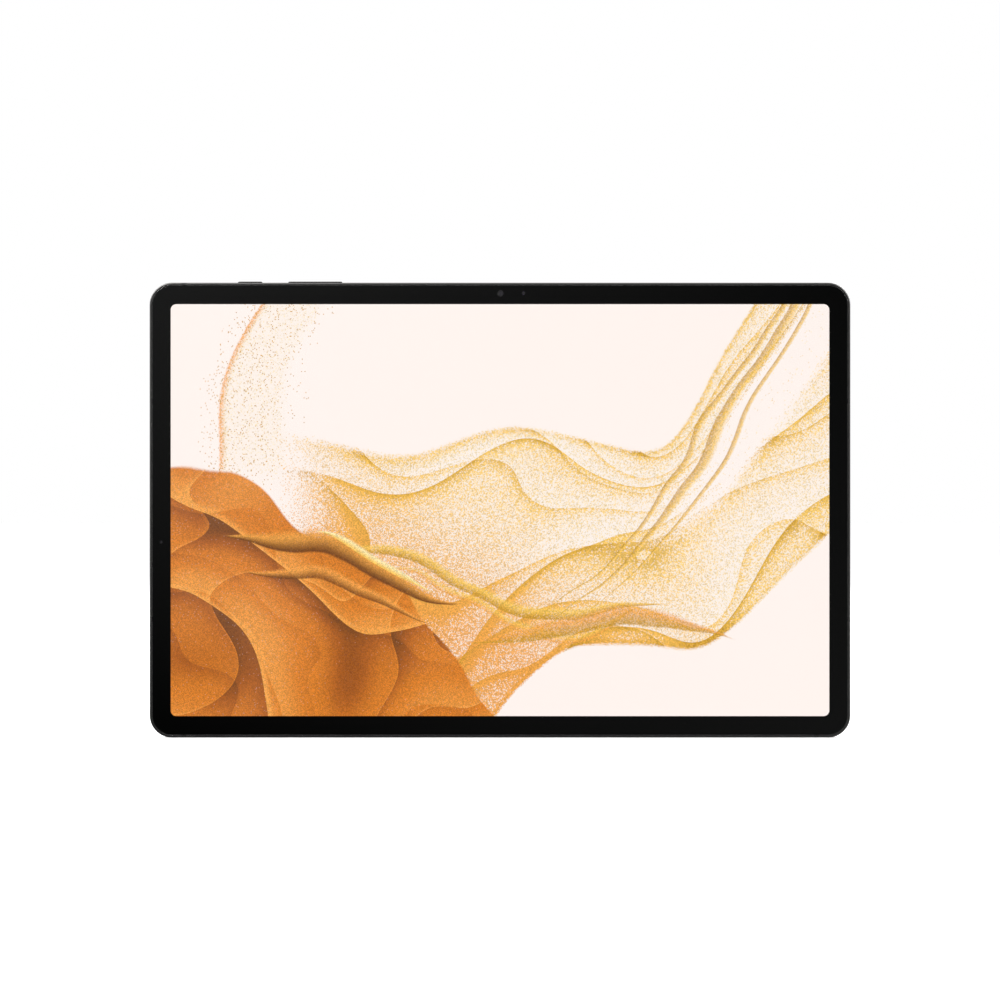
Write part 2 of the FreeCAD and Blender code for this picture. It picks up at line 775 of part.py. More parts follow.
def make_connectors():
    """The plugs and sockets on both sides of the main board."""
    depth = ("board_back", "connector_back")
    sockets = [block("socket", centred(across, "plug_width"), depth, (PLUG_LOW, PLUG_HIGH))
               for across in ("79", "90", "96.5", "106", "115")]
    sockets.append(block("port_socket", centred("115", "plug_width"), depth, centred("93", "plug_height")))
    sockets.append(block("display_socket", centred("ribbon_slot_across", "12"),
                         ("chip_front", "board_front"), ("36", "41")))
    sockets.append(block("coax_socket", ("86.6", "89.4"), depth, ("21", "23.8")))
    sockets.append(block("coax_socket", ("111", "113.8"), depth, ("22.6", "25.4")))
    keep(group("board_connectors", sockets), "board_connectors")


# ---------------------------------------------------------------- cameras and sensors

def make_front_camera():
    up = FRONT_CAMERA_UP
    case = block("camera_case", centred("front_camera_across", "front_camera_size"),
                 ("camera_front", "0.9"), centred(up, "front_camera_size"))
    barrel = rod("camera_barrel", "front_camera_barrel", "print_back + sensor_air", "camera_front + 0.1",
                 "front_camera_across", up)
    mouth = rod("camera_mouth", "front_camera_mouth", "print_back - 0.1", "print_back + 0.45",
                "front_camera_across", up)
    keep(cut("front_camera", fuse("camera_blank", [case, barrel]), [mouth]), "front_camera")


def make_sensors():
    depth = ("print_back + sensor_air", "sensor_back")
    light = block("light_sensor", centred("light_sensor_across", "3"), depth,
                  centred(FRONT_CAMERA_UP, "sensor_height"))
    keep(light, "light_sensor")
    side = block("side_sensor", centred("side_sensor_across", "2.6"), depth,
                 centred("side_sensor_up", "sensor_height"))
    keep(side, "side_sensor")


def rear_camera(label, across):
    """A camera module: a square case with a round barrel that looks out of the back."""
    up = "rear_camera_up"
    case = block(label + "_case", centred(across, "camera_size"), ("camera_front", "connector_back"),
                 centred(up, "camera_size"))
    barrel = rod(label + "_barrel", "barrel_radius", "connector_back - 0.1", "barrel_back", across, up)
    mouth = rod(label + "_mouth", "barrel_radius - barrel_mouth_wall", "barrel_back - barrel_mouth_depth",
                "barrel_back + 0.1", across, up)
    keep(cut(label, fuse(label + "_blank", [case, barrel]), [mouth]), label)


def camera_spots():
    return [("main_camera_across", "rear_camera_up"), ("wide_camera_across", "rear_camera_up")]


def make_camera_island():
    """The raised frame on the back, with two lens rings, their windows and the flash."""
    island = plate("camera_island", "back_face", "island_back",
                   stadium("island_length", "island_width", "flash_across", "rear_camera_up"),
                   *[circle("ring_radius", *spot) for spot in camera_spots()],
                   circle("flash_radius", "flash_across", "rear_camera_up"))
    round_level(island, "Y", "island_back", "island_round", longer_than="3*ring_radius")
    keep(island, "camera_island")
    rings = []
    for spot in camera_spots():
        ring = plate("lens_ring", "back_face + 0.1", "ring_back",
                     circle("ring_radius", *spot), circle("ring_radius - ring_wall", *spot))
        round_level(ring, "Y", "ring_back", "ring_round")
        rings.append(ring)
    keep(group("lens_rings", rings), "lens_rings")
    back = "ring_back - window_recess"
    windows = [rod("window", "ring_radius - ring_wall", f"{back} - window_thickness", back, *spot)
               for spot in camera_spots()]
    keep(group("lens_windows", windows), "lens_windows")
    flash = rod("flash_lens", "flash_radius", "back_face", "island_back", "flash_across", "rear_camera_up")
    keep(flash, "flash_lens")
    led = block("flash_led", centred("flash_across", "led_size"), ("1.9", "back_face - 0.1"),
                centred("rear_camera_up", "led_size"))
    keep(led, "flash_led")


def make_camera_flexes():
    """The ribbons of the two rear cameras and the front camera."""
    depth = ("connector_back", FLEX_BACK)
    main = block("main_ribbon", ("113", "117"), depth, (PLUG_LOW, "168"))
    wide = block("wide_ribbon", ("104", "108"), depth, (PLUG_LOW, "168"))
    front = fuse("front_ribbon", [
        block("ribbon_run", ("-1.5", "98.5"), depth, ("170", "172.5")),
        block("ribbon_drop", ("94.5", "98.5"), depth, (PLUG_LOW, "172.5")),
        block("ribbon_rise", ("-1.5", "1.9"), depth, ("170", "178.4")),
        block("ribbon_turn", ("-1.5", "1.9"), ("0.9", FLEX_BACK), ("178.25", "178.4"))])
    keep(group("camera_flexes", [main, wide, front]), "camera_flexes")


# ---------------------------------------------------------------- keys

def key_cap(label, length, across, flange_top, stems):
    """A key: round-ended head, a flange that stops it falling out, and stems that press the domes."""
    body = new_body(label)
    head_low = f"({flange_top}) - 0.1"
    pad(body, "top", head_low, "body_height + button_proud",
        stadium(length, "button_width", across, "edge_line"))
    round_level(body, "Z", "body_height + button_proud", "button_round")
    flange_low = f"({flange_top}) - flange_thickness"
    pad(body, "top", flange_low, flange_top,
        rounded(f"{length} + 2*flange_overhang", "button_width + flange_overhang", "0.4",
                across, "edge_line"))
    for stem in stems:
        pad(body, "top", "dome_top + 0.04", f"{flange_low} + 0.1",
            circle("stem_radius", f"{across} + ({stem})", "edge_line"))
    keep(body, label)


def dome(across):
    """A snap dome, drawn as a low cone with its top cut off."""
    cone = doc.addObject("Part::Cone", "dome")
    bind(cone, Radius1="dome_radius - 0.7", Radius2="dome_radius - 1.2", Height="dome_top - dome_base")
    bind(cone, Placement__Base__x=across, Placement__Base__y="edge_line", Placement__Base__z="dome_base")
    return cone


def make_keys():
    power_top = f"{KEY_BAY_TOP} - fit_gap"
    key_cap("power_button", "power_length", "power_across", power_top, ["0"])
    rocker_top = f"{KEY_BAY_TOP} - 0.3"
    spread = ["-volume_dome_spread", "volume_dome_spread"]
    key_cap("volume_rocker", "volume_length", "volume_across", rocker_top, spread)
    keep(dome("power_across"), "power_dome")
    keep(group("volume_domes", [dome(f"volume_across + ({side})") for side in spread]), "volume_domes")
    depth = centred("edge_line", "2.8")
    back = ("connector_back", FLEX_BACK)
    drop_left = "key_strip_right - 1.6"
    strip = block("key_strip", ("key_strip_left", "key_strip_right"), depth,
                  ("dome_base - flex_thickness", "dome_base"))
    drop = block("key_drop", (drop_left, "key_strip_right"), back, ("165", "dome_base"))
    run = block("key_run", (drop_left, "92"), back, ("165", "168"))
    tail = block("key_tail", ("88", "92"), back, (PLUG_LOW, "168"))
    keep(fuse("key_flex", [strip, drop, run, tail]), "key_flex")
    bracket = block("key_bracket", ("key_strip_left", "key_strip_right - 2"), depth,
                    ("dome_base - flex_thickness - 0.5", "dome_base - flex_thickness"))
    keep(bracket, "key_bracket")


# ---------------------------------------------------------------- card tray

def make_card_tray():
    """A flush cap with an ejector hole, and a thin blade with a window for the card."""
    body = new_body("card_tray")
    cap_high = "body_height - tray_cap_recess"
    cap_low = f"{cap_high} - tray_cap_thickness"
    pad(body, "top", cap_low, cap_high,
        stadium("tray_cap_length", "tray_cap_width", "tray_across", "edge_line"))
    round_level(body, "Z", cap_high, "tray_cap_round")
    blade_up = f"(tray_blade_low + {cap_low} + 0.2)/2"
    blade_height = f"{cap_low} + 0.2 - tray_blade_low"
    blade_front = "edge_line - tray_blade_half"
    pad(body, "front", blade_front, "edge_line + tray_blade_half",
        rounded("tray_blade_width", blade_height, "0.8", "tray_across", blade_up))
    pocket(body, "front", f"{blade_front} - 0.1", "edge_line + tray_blade_half + 0.1",
           rounded("13.4", "9.6", "0.6", "tray_across", "tray_blade_low + 6.6"))
    pocket(body, "front", f"{blade_front} - 0.1", "edge_line + 0.15",
           rounded("15.2", "11.2", "0.6", "tray_across", "tray_blade_low + 6.6"))
    pocket(body, "top", f"{cap_low} + 0.5", "body_height + 0.1",
           circle("ejector_hole", "tray_across + ejector_offset", "edge_line"))
    keep(body, "card_tray")


def make_card_socket():
    """The metal cage that the tray slides into, open at its mouth."""
    inside_x = "tray_blade_width + 4*tray_gap"
    depth = "2*tray_blade_half + 2*tray_gap"
    outer = block("socket_outer", centred("tray_across", f"{inside_x} + 2*socket_wall"),
                  centred("edge_line", f"{depth} + 2*socket_wall"), ("socket_low", f"{CAVITY_TOP} - 0.2"))
    inner = block("socket_inner", centred("tray_across", inside_x), centred("edge_line", depth),
                  ("socket_low + socket_wall", "body_height"))
    keep(cut("card_socket", outer, [inner]), "card_socket")


# ---------------------------------------------------------------- port

def make_port():
    """The receptacle on the right side: shell, tongue, contacts, seal, small board and ribbon."""
    mouth = "body_width/2 - port_recess"
    back = f"{mouth} - port_depth"
    slot = {"across": "edge_line", "up": MIDDLE, "upright": True}
    shell = new_body("usb_shell")
    pad(shell, "side", back, mouth, stadium("port_length", "port_width", **slot))
    pocket(shell, "side", f"{back} + port_floor", f"{mouth} + 0.1",
           stadium("port_length - 2*port_wall", "port_width - 2*port_wall", **slot))
    keep(shell, "usb_shell")
    tongue = block("usb_tongue", (f"{back} + port_floor", f"{mouth} - 0.8"),
                   centred("edge_line", "tongue_thickness"), centred(MIDDLE, "tongue_height"))
    keep(tongue, "usb_tongue")
    strips = []
    surface = "tongue_thickness/2"
    sides = [(f"edge_line - {surface} - contact_proud", f"edge_line - {surface}"),
             (f"edge_line + {surface}", f"edge_line + {surface} + contact_proud")]
    for row in range(12):
        up = centred(f"{MIDDLE} + {row - 5.5}*contact_pitch", "contact_width")
        strips += [block("usb_contact", (f"{back} + port_floor + 0.2", f"{mouth} - 1.3"), depth, up)
                   for depth in sides]
    keep(group("usb_contacts", strips), "usb_contacts")
    seal = new_body("usb_seal")
    pad(seal, "side", "body_width/2 - 3.2", "body_width/2 - 2.4",
        stadium("port_length + 2*port_gap", "port_width + 2*port_gap", **slot),
        stadium("port_length", "port_width", **slot))
    keep(seal, "usb_seal")
    board = fuse("usb_board", [
        block("usb_plate", ("122", back), ("board_front", "board_back"), centred(MIDDLE, "20")),
        block("usb_socket", ("123", "126"), ("board_back", "connector_back"), centred("93", "6"))])
    keep(board, "usb_board")
    ribbon = block("usb_flex", ("112.6", "126"), ("connector_back", FLEX_BACK), centred("93", "2.8"))
    keep(ribbon, "usb_flex")


# ---------------------------------------------------------------- sound

def make_speaker(label, side, sign):
    """A flat speaker box with a shallow cone recess in its front and a sound mouth at the wall."""
    wall = f"({CAVITY_SIDE} - speaker_gap)"
    near = f"({CAVITY_SIDE} - speaker_gap - speaker_depth)"
    x = (near, wall) if side > 0 else (f"-{wall}", f"-{near}")
    middle = f"{MIDDLE} {sign} grille_rise"
    case = block(label + "_case", x, ("speaker_front", "speaker_back"), centred(middle, "speaker_length"))
    across = f"{side}*({wall} + {near})/2"
    recess = rod(label + "_cone", "cone_radius", "speaker_front - 0.1", "speaker_front + 0.3",
                 across, f"{middle} + speaker_length/4")
    mouth_x = (f"{wall} - 1.5", f"{wall} + 1") if side > 0 else (f"-{wall} - 1", f"-{wall} + 1.5")
    mouth = block(label + "_mouth", mouth_x, centred("edge_line", "1.4"), centred(middle, "24"))
    keep(cut(label, case, [recess, mouth]), label)


def make_sound():
    for side, side_name in ((-1, "left"), (1, "right")):
        for sign, level_name in (("-", "lower"), ("+", "upper")):
            make_speaker(f"speaker_{side_name}_{level_name}", side, sign)
    meshes = []
    for side in (-1, 1):
        for sign in ("-", "+"):
            x = centred(f"{side}*({CAVITY_SIDE} - mesh_thickness)", "mesh_thickness")
            up = centred(f"{MIDDLE} {sign} grille_rise", "mesh_length")
            meshes.append(block("mesh", x, centred("edge_line", "2"), up))
    keep(group("grille_meshes", meshes), "grille_meshes")
    width = centred("microphone_across", "microphone_width")
    depth = centred("edge_line", "2.6")
    upper = block("microphone", width, depth,
                  (f"{CAVITY_TOP} - 0.1 - microphone_height", f"{CAVITY_TOP} - 0.1"))
    lower = block("microphone", width, depth, ("side_wall + 0.1", "side_wall + 0.1 + microphone_height"))
    keep(group("microphones", [upper, lower]), "microphones")


# ---------------------------------------------------------------- keyboard contacts, antennas, magnets

def make_dock_contacts():
    """Four round contacts in an insulating strip, just inside the lower edge."""
    strip = new_body("dock_insulator")
    pad(strip, "top", "0.1", "side_wall", stadium("dock_length", "dock_width", "dock_across", "edge_line"))
    places = [f"dock_across + {step}*dock_pitch" for step in (-1.5, -0.5, 0.5, 1.5)]
    pocket(strip, "top", "0", "dock_pin_back",
           *[circle("dock_pin_radius", place, "edge_line") for place in places])
    keep(strip, "dock_insulator")
    pins = new_body("dock_pins")
    pad(pins, "top", "dock_pin_front", "dock_pin_back", circle("dock_pin_radius", places[0], "edge_line"))
    round_level(pins, "Z", "dock_pin_front", "0.2")
    copies = [pins]
    for step in (1, 2, 3):
        copy = doc.addObject("App::Link", "dock_pin")
        copy.LinkedObject = pins
        bind(copy, LinkPlacement__Base__x=f"{step}*dock_pitch")
        copies.append(copy)
    keep(group("dock_contacts", copies), "dock_contacts")


def coax_lead(points):
    """A round lead along straight runs joined by tangent arcs, in a plane parallel to the screen."""
    depth = measure("coax_line")
    bend = measure("coax_bend")
    corners = [FreeCAD.Vector(x, depth, z) for x, z in points]
    edges = []
    start = corners[0]
    for before, corner, after in zip(corners, corners[1:], corners[2:]):
        inward = (before - corner).normalize()
        outward = (after - corner).normalize()
        half_turn = (math.pi - inward.getAngle(outward)) / 2
        reach = bend * math.tan(half_turn)
        enter = corner + inward * reach
        leave = corner + outward * reach
        centre_way = (inward + outward).normalize()
        middle = corner + centre_way * (bend / math.cos(half_turn) - bend)
        edges.append(Part.LineSegment(start, enter).toShape())
        edges.append(Part.Arc(enter, middle, leave).toShape())
        start = leave
    edges.append(Part.LineSegment(start, corners[-1]).toShape())
    path = Part.Wire(edges)
    heading = corners[1] - corners[0]
    section = Part.Wire(Part.makeCircle(measure("coax_radius"), corners[0], heading))
    return path.makePipeShell([section], True, False)


def make_antennas():
    """Three antenna blocks inside the long edges, and the leads of the two lower ones."""
    depth = ("antenna_front", "cell_back")
    left_side = ("-antenna_far", "-antenna_near")
    right_side = ("antenna_near", "antenna_far")
    lower = ("side_wall + antenna_gap", "side_wall + antenna_gap + antenna_height")
    upper = (f"{CAVITY_TOP} - antenna_gap - antenna_height", f"{CAVITY_TOP} - antenna_gap")
    blocks = [block("antenna", left_side, depth, lower), block("antenna", right_side, depth, lower),
              block("antenna", right_side, depth, upper)]
    keep(group("antennas", blocks), "antennas")
    left = coax_lead([(-66, 6.4), (-58, 6.4), (-52, 11.4), (88, 11.4), (88, 21)])
    right = coax_lead([(108, 7.8), (108, 12.2), (121.5, 12.2), (121.5, 24), (113.8, 24)])
    leads = doc.addObject("Part::Feature", "coax_leads")
    leads.Shape = Part.makeCompound([left, right])
    leads.Placement = FreeCAD.Placement()
    keep(leads, "coax_leads")


def make_magnets():
    """Bar magnets that hold a cover, along the left side and the lower edge."""
    depth = ("magnet_front", "magnet_back")
    upright = [block("magnet", centred("-124", "magnet_width"), depth, centred(f"{MIDDLE} + {rise}", "20"))
               for rise in ("-27", "0", "27")]
    lying = [block("magnet", centred(across, "22"), depth, centred("7", "magnet_width"))
             for across in ("-28", "22")]
    keep(group("cover_magnets", upright + lying), "cover_magnets")


# ---------------------------------------------------------------- the whole tablet

def build():
    make_housing()
    make_cover_glass()
    make_bezel_print()
    make_glass_adhesive()
    make_display_panel()
    make_display_flex()
    make_mid_plate()
    make_graphite_sheet()
    make_screws()
    make_battery()
    make_main_board()
    make_chips()
    make_shielding()
    make_connectors()
    make_front_camera()
    make_sensors()
    rear_camera("rear_camera_main", "main_camera_across")
    rear_camera("rear_camera_wide", "wide_camera_across")
    make_camera_island()
    make_camera_flexes()
    make_keys()
    make_card_tray()
    make_card_socket()
    make_port()
    make_sound()
    make_dock_contacts()
    make_antennas()
    make_magnets()


def check():
    """Stop if any object failed or any sub-part has no valid shape."""
    for item in doc.Objects:
        if "Invalid" in item.State or "Error" in item.State:
            raise RuntimeError(f"{item.Name} ({item.Label}) failed: {item.State}")
    for item in subparts:
        if item.Shape.isNull() or not item.Shape.isValid():
            raise RuntimeError(f"{item.Label} has no valid shape")


def write():
    """Write each sub-part to a file of its own."""
    os.makedirs("parts", exist_ok=True)
    for item in subparts:
        item.Shape.exportStep(f"parts/{item.Label}.step")
        print(f"{item.Label}: {len(item.Shape.Solids)} solid(s), {item.Shape.Volume:.2f} mm3")


build()
doc.recompute()
check()
write()
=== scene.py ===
"""The looks of a slate tablet computer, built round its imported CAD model."""
import bmesh
import bpy
import math
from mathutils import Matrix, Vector


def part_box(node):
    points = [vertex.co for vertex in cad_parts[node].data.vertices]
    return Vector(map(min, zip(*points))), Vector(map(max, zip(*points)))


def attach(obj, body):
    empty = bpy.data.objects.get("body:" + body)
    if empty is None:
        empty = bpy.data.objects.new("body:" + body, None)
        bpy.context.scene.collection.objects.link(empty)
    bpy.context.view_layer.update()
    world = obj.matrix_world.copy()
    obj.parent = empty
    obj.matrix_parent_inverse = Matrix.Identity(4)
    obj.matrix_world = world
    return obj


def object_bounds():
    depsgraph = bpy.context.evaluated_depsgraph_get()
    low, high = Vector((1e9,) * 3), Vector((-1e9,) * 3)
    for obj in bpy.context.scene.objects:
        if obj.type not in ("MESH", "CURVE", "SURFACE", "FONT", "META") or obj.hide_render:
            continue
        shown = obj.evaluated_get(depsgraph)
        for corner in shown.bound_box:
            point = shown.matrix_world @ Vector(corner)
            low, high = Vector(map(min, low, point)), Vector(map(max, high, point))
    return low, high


MM = 0.001

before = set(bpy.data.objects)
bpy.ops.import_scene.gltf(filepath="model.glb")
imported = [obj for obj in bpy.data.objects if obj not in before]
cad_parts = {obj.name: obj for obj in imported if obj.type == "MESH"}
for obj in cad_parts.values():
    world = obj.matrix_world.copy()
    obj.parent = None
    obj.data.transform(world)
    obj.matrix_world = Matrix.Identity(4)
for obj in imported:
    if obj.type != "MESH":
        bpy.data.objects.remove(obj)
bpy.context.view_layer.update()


# ---------------------------------------------------------------- shader formulas

class Value:
    """A number that varies over a surface: the output of a shader node."""

    def __init__(self, tree, socket):
        self.tree = tree
        self.socket = socket

    def math(self, operation, *others, clamp=False):
        node = self.tree.nodes.new("ShaderNodeMath")
        node.operation = operation
        node.use_clamp = clamp
        for slot, item in zip(node.inputs, (self, *others)):
            feed(self.tree, slot, item)
        return Value(self.tree, node.outputs[0])

    def __add__(self, other):
        return self.math("ADD", other)

    def __sub__(self, other):
        return self.math("SUBTRACT", other)

    def __mul__(self, other):
        return self.math("MULTIPLY", other)

    def __truediv__(self, other):
        return self.math("DIVIDE", other)

    def __pow__(self, other):
        return self.math("POWER", other)

    def __rsub__(self, other):
        return (self * -1.0) + other

    __radd__ = __add__
    __rmul__ = __mul__

    def fold(self):
        """The part after the decimal point: a ramp that starts again at each whole number."""
        return self.math("FRACT")

    def below(self, other):
        return self.math("LESS_THAN", other)

    def clamp(self):
        return self.math("ADD", 0.0, clamp=True)

    def larger(self, other):
        return self.math("MAXIMUM", other)

    def smaller(self, other):
        return self.math("MINIMUM", other)

    def step(self, low, high, to_low=0.0, to_high=1.0):
        """A smooth step from one value to another as this number goes from low to high."""
        node = self.tree.nodes.new("ShaderNodeMapRange")
        node.interpolation_type = "SMOOTHSTEP"
        feed(self.tree, node.inputs["Value"], self)
        for name, number in zip(("From Min", "From Max", "To Min", "To Max"), (low, high, to_low, to_high)):
            node.inputs[name].default_value = number
        return Value(self.tree, node.outputs["Result"])


def feed(tree, slot, item):
    """Give a shader socket a value, another node's output or a plain number."""
    if isinstance(item, Value):
        tree.links.new(item.socket, slot)
    elif isinstance(item, bpy.types.NodeSocket):
        tree.links.new(item, slot)
    else:
        slot.default_value = item


def place(tree):
    """The point of the object's own frame that is being shaded, in metres."""
    return tree.nodes.new("ShaderNodeTexCoord").outputs["Object"]


def parts_of(tree, vector):
    """The x, y and z of a point."""
    node = tree.nodes.new("ShaderNodeSeparateXYZ")
    feed(tree, node.inputs[0], vector)
    return [Value(tree, node.outputs[i]) for i in range(3)]


def point(tree, x, y, z=0.0):
    """A point made of three numbers."""
    node = tree.nodes.new("ShaderNodeCombineXYZ")
    for slot, item in zip(node.inputs, (x, y, z)):
        feed(tree, slot, item)
    return node.outputs[0]


def noise(tree, where, scale, detail=3.0, distortion=0.0):
    """Smooth noise from 0 to 1, with the given number of cells per unit of length."""
    node = tree.nodes.new("ShaderNodeTexNoise")
    feed(tree, node.inputs["Vector"], where)
    node.inputs["Scale"].default_value = scale
    node.inputs["Detail"].default_value = detail
    node.inputs["Distortion"].default_value = distortion
    return Value(tree, node.outputs[0])


def grain(tree, where, pitch, seed=0.0):
    """A random number for each cell of a fine square grid."""
    scaled = tree.nodes.new("ShaderNodeVectorMath")
    scaled.operation = "SCALE"
    feed(tree, scaled.inputs[0], where)
    scaled.inputs["Scale"].default_value = 1.0 / pitch
    cells = tree.nodes.new("ShaderNodeVectorMath")
    cells.operation = "FLOOR"
    tree.links.new(scaled.outputs[0], cells.inputs[0])
    node = tree.nodes.new("ShaderNodeTexWhiteNoise")
    node.noise_dimensions = "4D"
    tree.links.new(cells.outputs[0], node.inputs["Vector"])
    node.inputs["W"].default_value = seed
    return Value(tree, node.outputs["Value"])


def blend_colours(tree, share, first, second):
    """A colour between two others."""
    node = tree.nodes.new("ShaderNodeMix")
    node.data_type = "RGBA"
    feed(tree, node.inputs["Factor"], share)
    for slot, colour in ((node.inputs["A"], first), (node.inputs["B"], second)):
        pick = [s for s in node.inputs if s.name == slot.name and s.type == "RGBA"][0]
        feed(tree, pick, colour if isinstance(colour, bpy.types.NodeSocket) else (*colour, 1.0))
    return [s for s in node.outputs if s.type == "RGBA"][0]


def shade_colour(tree, colour, brightness):
    """A colour made brighter or darker by a number."""
    node = tree.nodes.new("ShaderNodeVectorMath")
    node.operation = "SCALE"
    feed(tree, node.inputs[0], colour)
    feed(tree, node.inputs["Scale"], brightness)
    return node.outputs[0]


def bump(tree, height, distance):
    """The surface direction of a relief that is the distance deep, in metres."""
    node = tree.nodes.new("ShaderNodeBump")
    node.inputs["Strength"].default_value = 1.0
    node.inputs["Distance"].default_value = distance
    feed(tree, node.inputs["Height"], height)
    return node.outputs[0]


def new_material(name):
    """An empty material, its node tree and its surface shader."""
    material = bpy.data.materials.new(name)
    material.use_nodes = True
    tree = material.node_tree
    return material, tree, tree.nodes["Principled BSDF"]


def from_srgb(red, green, blue):
    """Linear colour of a screen colour given in 0 to 255."""
    def linear(c):
        c = c / 255
        return c / 12.92 if c <= 0.04045 else ((c + 0.055) / 1.055) ** 2.4
    return linear(red), linear(green), linear(blue)


# ---------------------------------------------------------------- the picture on the screen

CREAM = from_srgb(255, 244, 238)
PALE_GOLD = from_srgb(236, 208, 138)
GOLD = from_srgb(246, 200, 92)
DEEP_GOLD = from_srgb(200, 148, 38)
APRICOT = from_srgb(236, 162, 70)
STRAW = from_srgb(250, 232, 176)
ORANGE_LIGHT = from_srgb(242, 164, 74)
ORANGE = from_srgb(214, 124, 34)
ORANGE_DEEP = from_srgb(170, 90, 22)
BROWN = from_srgb(112, 62, 14)
GRAIN_PITCH = 0.0042      # of half the screen's height
SCREEN_GLOW = 1.07


class Canvas:
    """The screen's own coordinates, u across and v up, where v is 1 at the top edge, and its paint."""

    def __init__(self, tree):
        self.tree = tree
        x, _, z = parts_of(tree, place(tree))
        low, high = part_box("display_panel")
        half_height = (high.z - low.z) / 2
        self.u = x / half_height
        self.v = (z - (low.z + high.z) / 2) / half_height
        self.flat = point(tree, self.u, self.v)
        self.speck = grain(tree, self.flat, GRAIN_PITCH)
        self.tint = grain(tree, self.flat, GRAIN_PITCH, seed=5.0)
        self.colour = CREAM

    def slow(self, scale, shift):
        """Smooth noise from about -0.5 to 0.5 over the screen; each shift gives another pattern."""
        where = point(self.tree, self.u, self.v, shift)
        return noise(self.tree, where, scale, 0.0) - 0.5

    def paint(self, colour, cover, solid=0.5, contrast=0.5):
        """Lay a colour over the picture, partly as an even film and the rest as scattered grains."""
        grains = self.speck.below(cover) * (1.0 - solid)
        amount = (grains + cover.clamp() * solid).clamp()
        varied = shade_colour(self.tree, colour, 1.0 - contrast / 2 + contrast * self.tint)
        self.colour = blend_colours(self.tree, amount, self.colour, varied)


def over_zero(value, softness=0.2):
    """The value where it is above zero, and zero below, with a soft bend between."""
    return value.math("SMOOTH_MAX", 0.0, softness)


def fold_colour(tree, shade, light, middle, dark):
    """Cloth colour from lit to shaded as the shade goes from 0 to 1."""
    upper = blend_colours(tree, shade.step(0.0, 0.5), light, middle)
    return blend_colours(tree, shade.step(0.45, 1.0), upper, dark)


def veil(canvas):
    """A wide thin veil that crosses the screen and parts in two as it climbs to the right."""
    u, v, tree = canvas.u, canvas.v, canvas.tree
    climb = 1.45 * over_zero(u - 0.78)
    top = 0.33 + 0.06 * (4.7 * u + 0.9).math("SINE") + climb + 0.10 * canvas.slow(2.0, 3.0)
    bottom = -0.66 - 1.2 * over_zero(0.3 - u) + 0.95 * over_zero(u - 0.98) + 0.22 * canvas.slow(1.6, 8.0)
    across = (v - bottom) / (top - bottom)
    inside = across.step(-0.005, 0.02) * across.step(1.01, 0.985) * u.step(-1.1, -0.7)
    parted = (across - 0.62 - 0.2 * canvas.slow(1.2, 9.0)).math("ABSOLUTE")
    gap = u.step(0.55, 1.15) * parted.step(0.17, 0.10)
    inside = inside * (1.0 - 0.97 * gap)
    drawn = point(tree, 0.8 * u, 1.7 * across, 2.0)
    flow = across + 0.55 * (noise(tree, drawn, 1.6, 0.0) - 0.5)
    wide = (2.6 * flow + 0.4 * canvas.slow(1.2, 11.0) - 0.08).fold()
    narrow = (5.3 * flow + 1.3 * u + 1.1 * canvas.slow(1.5, 14.0)).fold()
    crest = (wide ** 9.0).larger(0.7 * narrow ** 7.0)
    rim = (across.step(0.93, 1.0) ** 2.0).larger(across.step(0.07, 0.0) ** 2.0)
    low_left = (-0.5 * u - v).step(-0.15, 0.75)
    cover = 0.20 + 0.18 * wide + 0.14 * narrow + 0.55 * crest + 0.4 * rim + 0.45 * low_left
    light = blend_colours(tree, low_left, PALE_GOLD, APRICOT)
    middle = blend_colours(tree, low_left, GOLD, APRICOT)
    shade = 0.25 * wide + 0.25 * narrow + 0.35 * crest + 0.6 * rim * canvas.speck
    canvas.paint(fold_colour(tree, shade, light, middle, DEEP_GOLD), inside * cover, 0.35)


def strand(canvas):
    """A faint strand that hangs at the upper left, with one sharp edge."""
    u, v, tree = canvas.u, canvas.v, canvas.tree
    left = -1.37 + 0.5 * over_zero(v - 0.5, 0.3) + 0.03 * (6.0 * v).math("SINE")
    off = u - left
    width = 0.34 + 0.08 * canvas.slow(2.0, 21.0)
    inside = off.step(-0.004, 0.008) * (off / width).step(1.0, 0.75) * v.step(0.05, 0.3)
    edge = off.step(0.05, 0.0)
    canvas.paint(fold_colour(tree, 0.5 * edge, PALE_GOLD, ORANGE_LIGHT, ORANGE), inside * (0.16 + 0.6 * edge))
    canvas.paint(DEEP_GOLD, off.step(-0.12, 0.0) * off.step(0.45, 0.1) * 0.05 * v.step(0.0, 0.3), 0.0)


def sand(canvas):
    """Dense orange cloth that fills the lower left corner in deep overlapping folds."""
    u, v, tree = canvas.u, canvas.v, canvas.tree
    edge = 0.2 - 0.34 * u.step(-1.3, -0.85) - 1.4 * over_zero(u + 0.62, 0.25) + 0.12 * canvas.slow(3.0, 31.0)
    inside = (edge - v).step(-0.006, 0.012)
    warp = canvas.slow(1.1, 35.0)
    twist = canvas.slow(2.1, 38.0)
    big = (0.85 * u + 1.35 * v + 2.1 * warp + 0.5 * twist + 0.1).fold()
    small = (-1.5 * u + 1.4 * v + 2.9 * twist + 0.8 * warp).fold()
    fine = (2.3 * u + 2.9 * v + 3.6 * warp + 1.5 * canvas.slow(3.1, 44.0)).fold()
    shade = 0.12 + 0.66 * big ** 1.8 + 0.5 * (small ** 2.5) * (0.3 + 0.7 * big) + 0.2 * fine ** 3.0
    glow = big.step(0.07, 0.0) * 0.8 + small.step(0.05, 0.0) * 0.5
    colour = fold_colour(tree, shade + 0.06 - 0.35 * glow, ORANGE_LIGHT, ORANGE, ORANGE_DEEP)
    colour = blend_colours(tree, shade.step(0.75, 1.25) * 0.85, colour, BROWN)
    canvas.paint(colour, inside * (0.985 + 0.05 * twist), 0.85)


